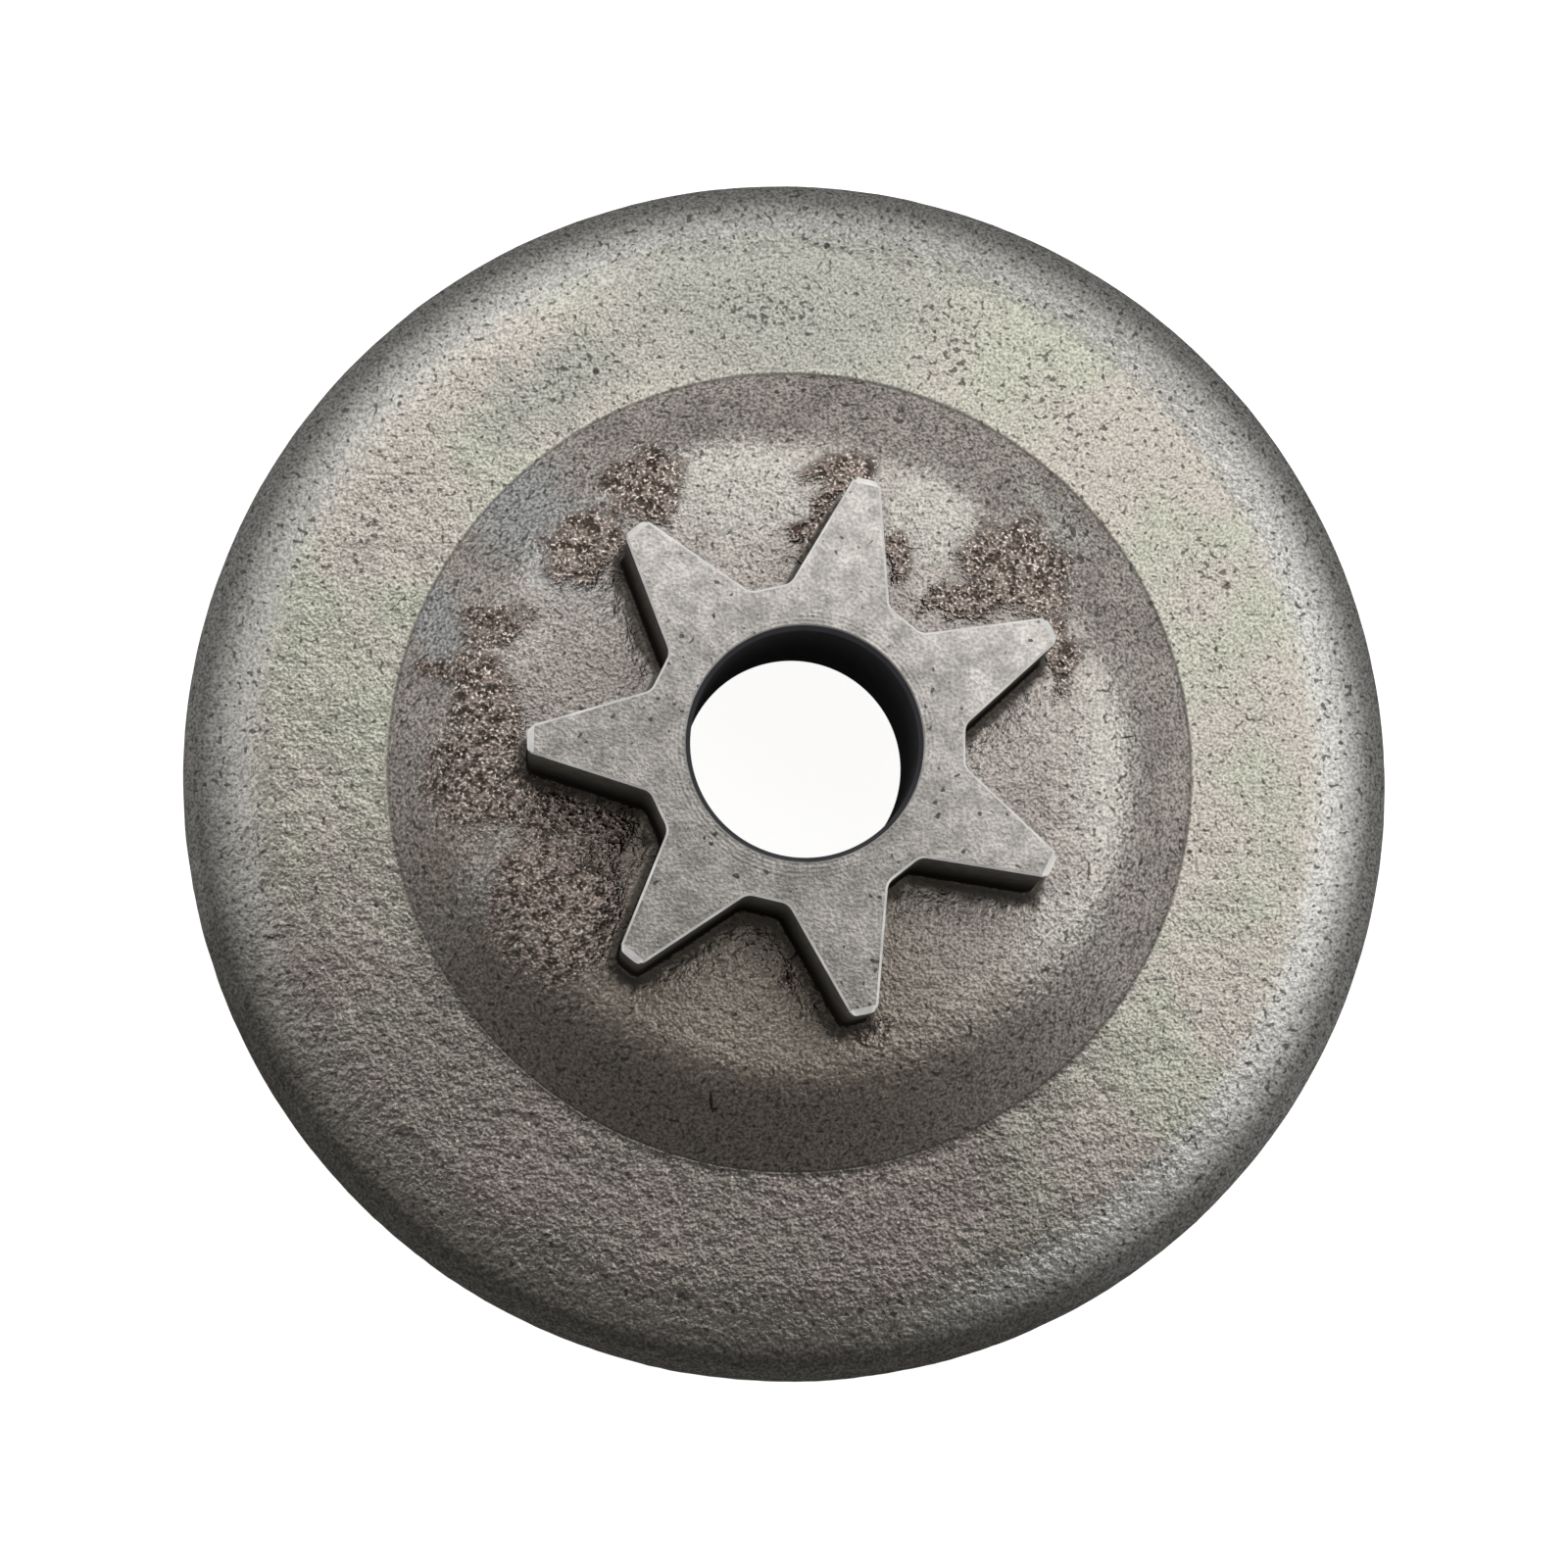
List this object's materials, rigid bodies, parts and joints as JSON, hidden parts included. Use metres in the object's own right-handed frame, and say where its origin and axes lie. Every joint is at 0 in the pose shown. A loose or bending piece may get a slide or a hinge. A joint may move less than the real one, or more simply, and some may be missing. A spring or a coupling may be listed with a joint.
{
  "type": "clutch drum",
  "caption": "Steel clutch drum of a garden saw in one piece: a shallow cup with a raised centre, a needle cage bore and a spur chain sprocket.",
  "frame": {"origin": "centre of the cup's rim plane, on the bore axis", "axes": "+Z along the bore axis from the rim to the sprocket; one tooth points to -X and the rim notch to +X"},
  "size_m": [0.0838, 0.0838, 0.0295],
  "materials": {
    "steel": "satin"
  },
  "bodies": {
    "root": {"clutch_drum": "steel"}
  },
  "joints": []
}
